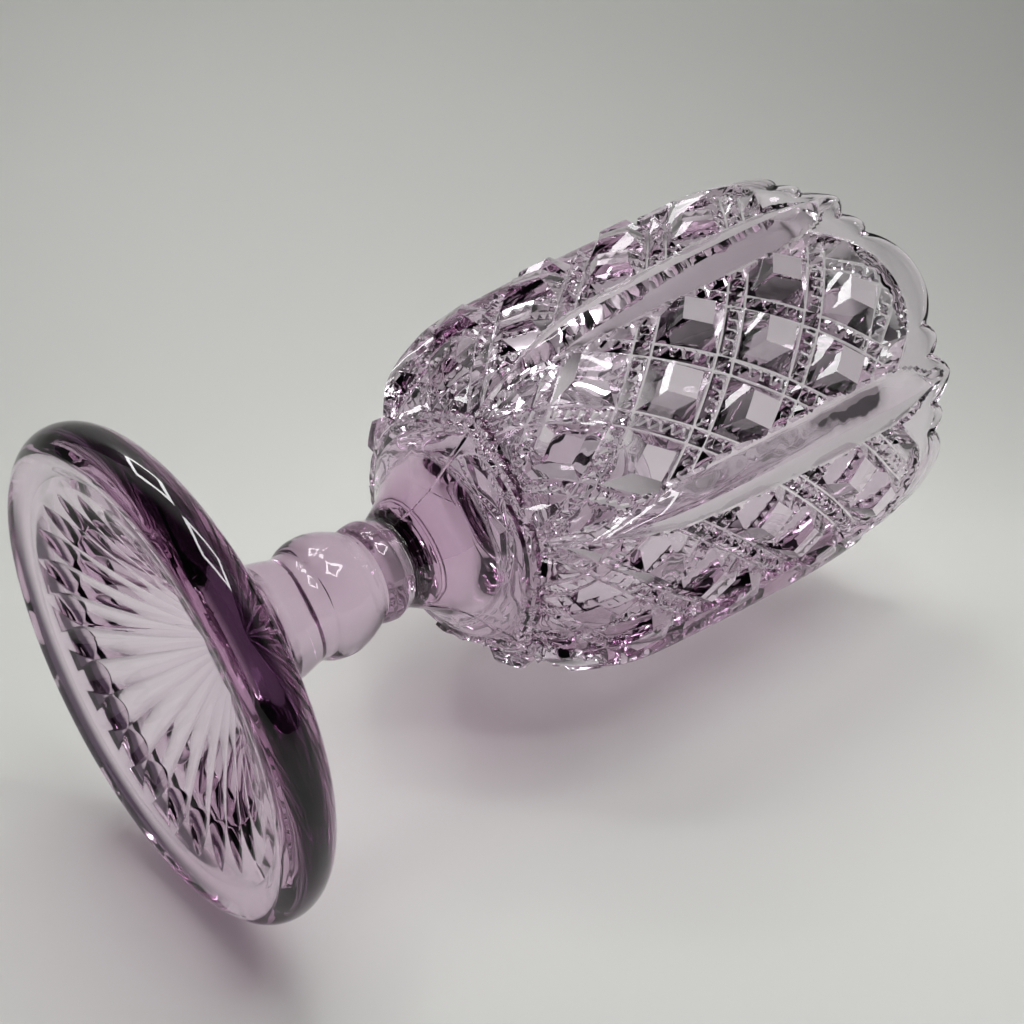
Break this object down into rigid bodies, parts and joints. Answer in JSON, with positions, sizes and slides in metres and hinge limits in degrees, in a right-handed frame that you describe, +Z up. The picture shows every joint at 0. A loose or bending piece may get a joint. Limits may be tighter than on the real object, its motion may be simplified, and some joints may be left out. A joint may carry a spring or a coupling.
{
  "type": "footed glass vase",
  "caption": "Footed pressed-glass vase: a ribbed, diamond-patterned bowl with a scalloped rim on a knopped stem and a fluted round foot, for holding stems or stalks upright.",
  "frame": {"origin": "centre of the foot on the plane it rests on", "axes": "+Z up the axis of the foot, stem and bowl towards the rim; +X through one of the upright ribs"},
  "size_m": [0.107, 0.106, 0.201],
  "materials": {
    "amethyst_glass": "fire-polished, lightly waved"
  },
  "bodies": {
    "root": {"foot": "amethyst_glass", "stem": "amethyst_glass", "wafer": "amethyst_glass", "bowl": "amethyst_glass"}
  },
  "joints": []
}
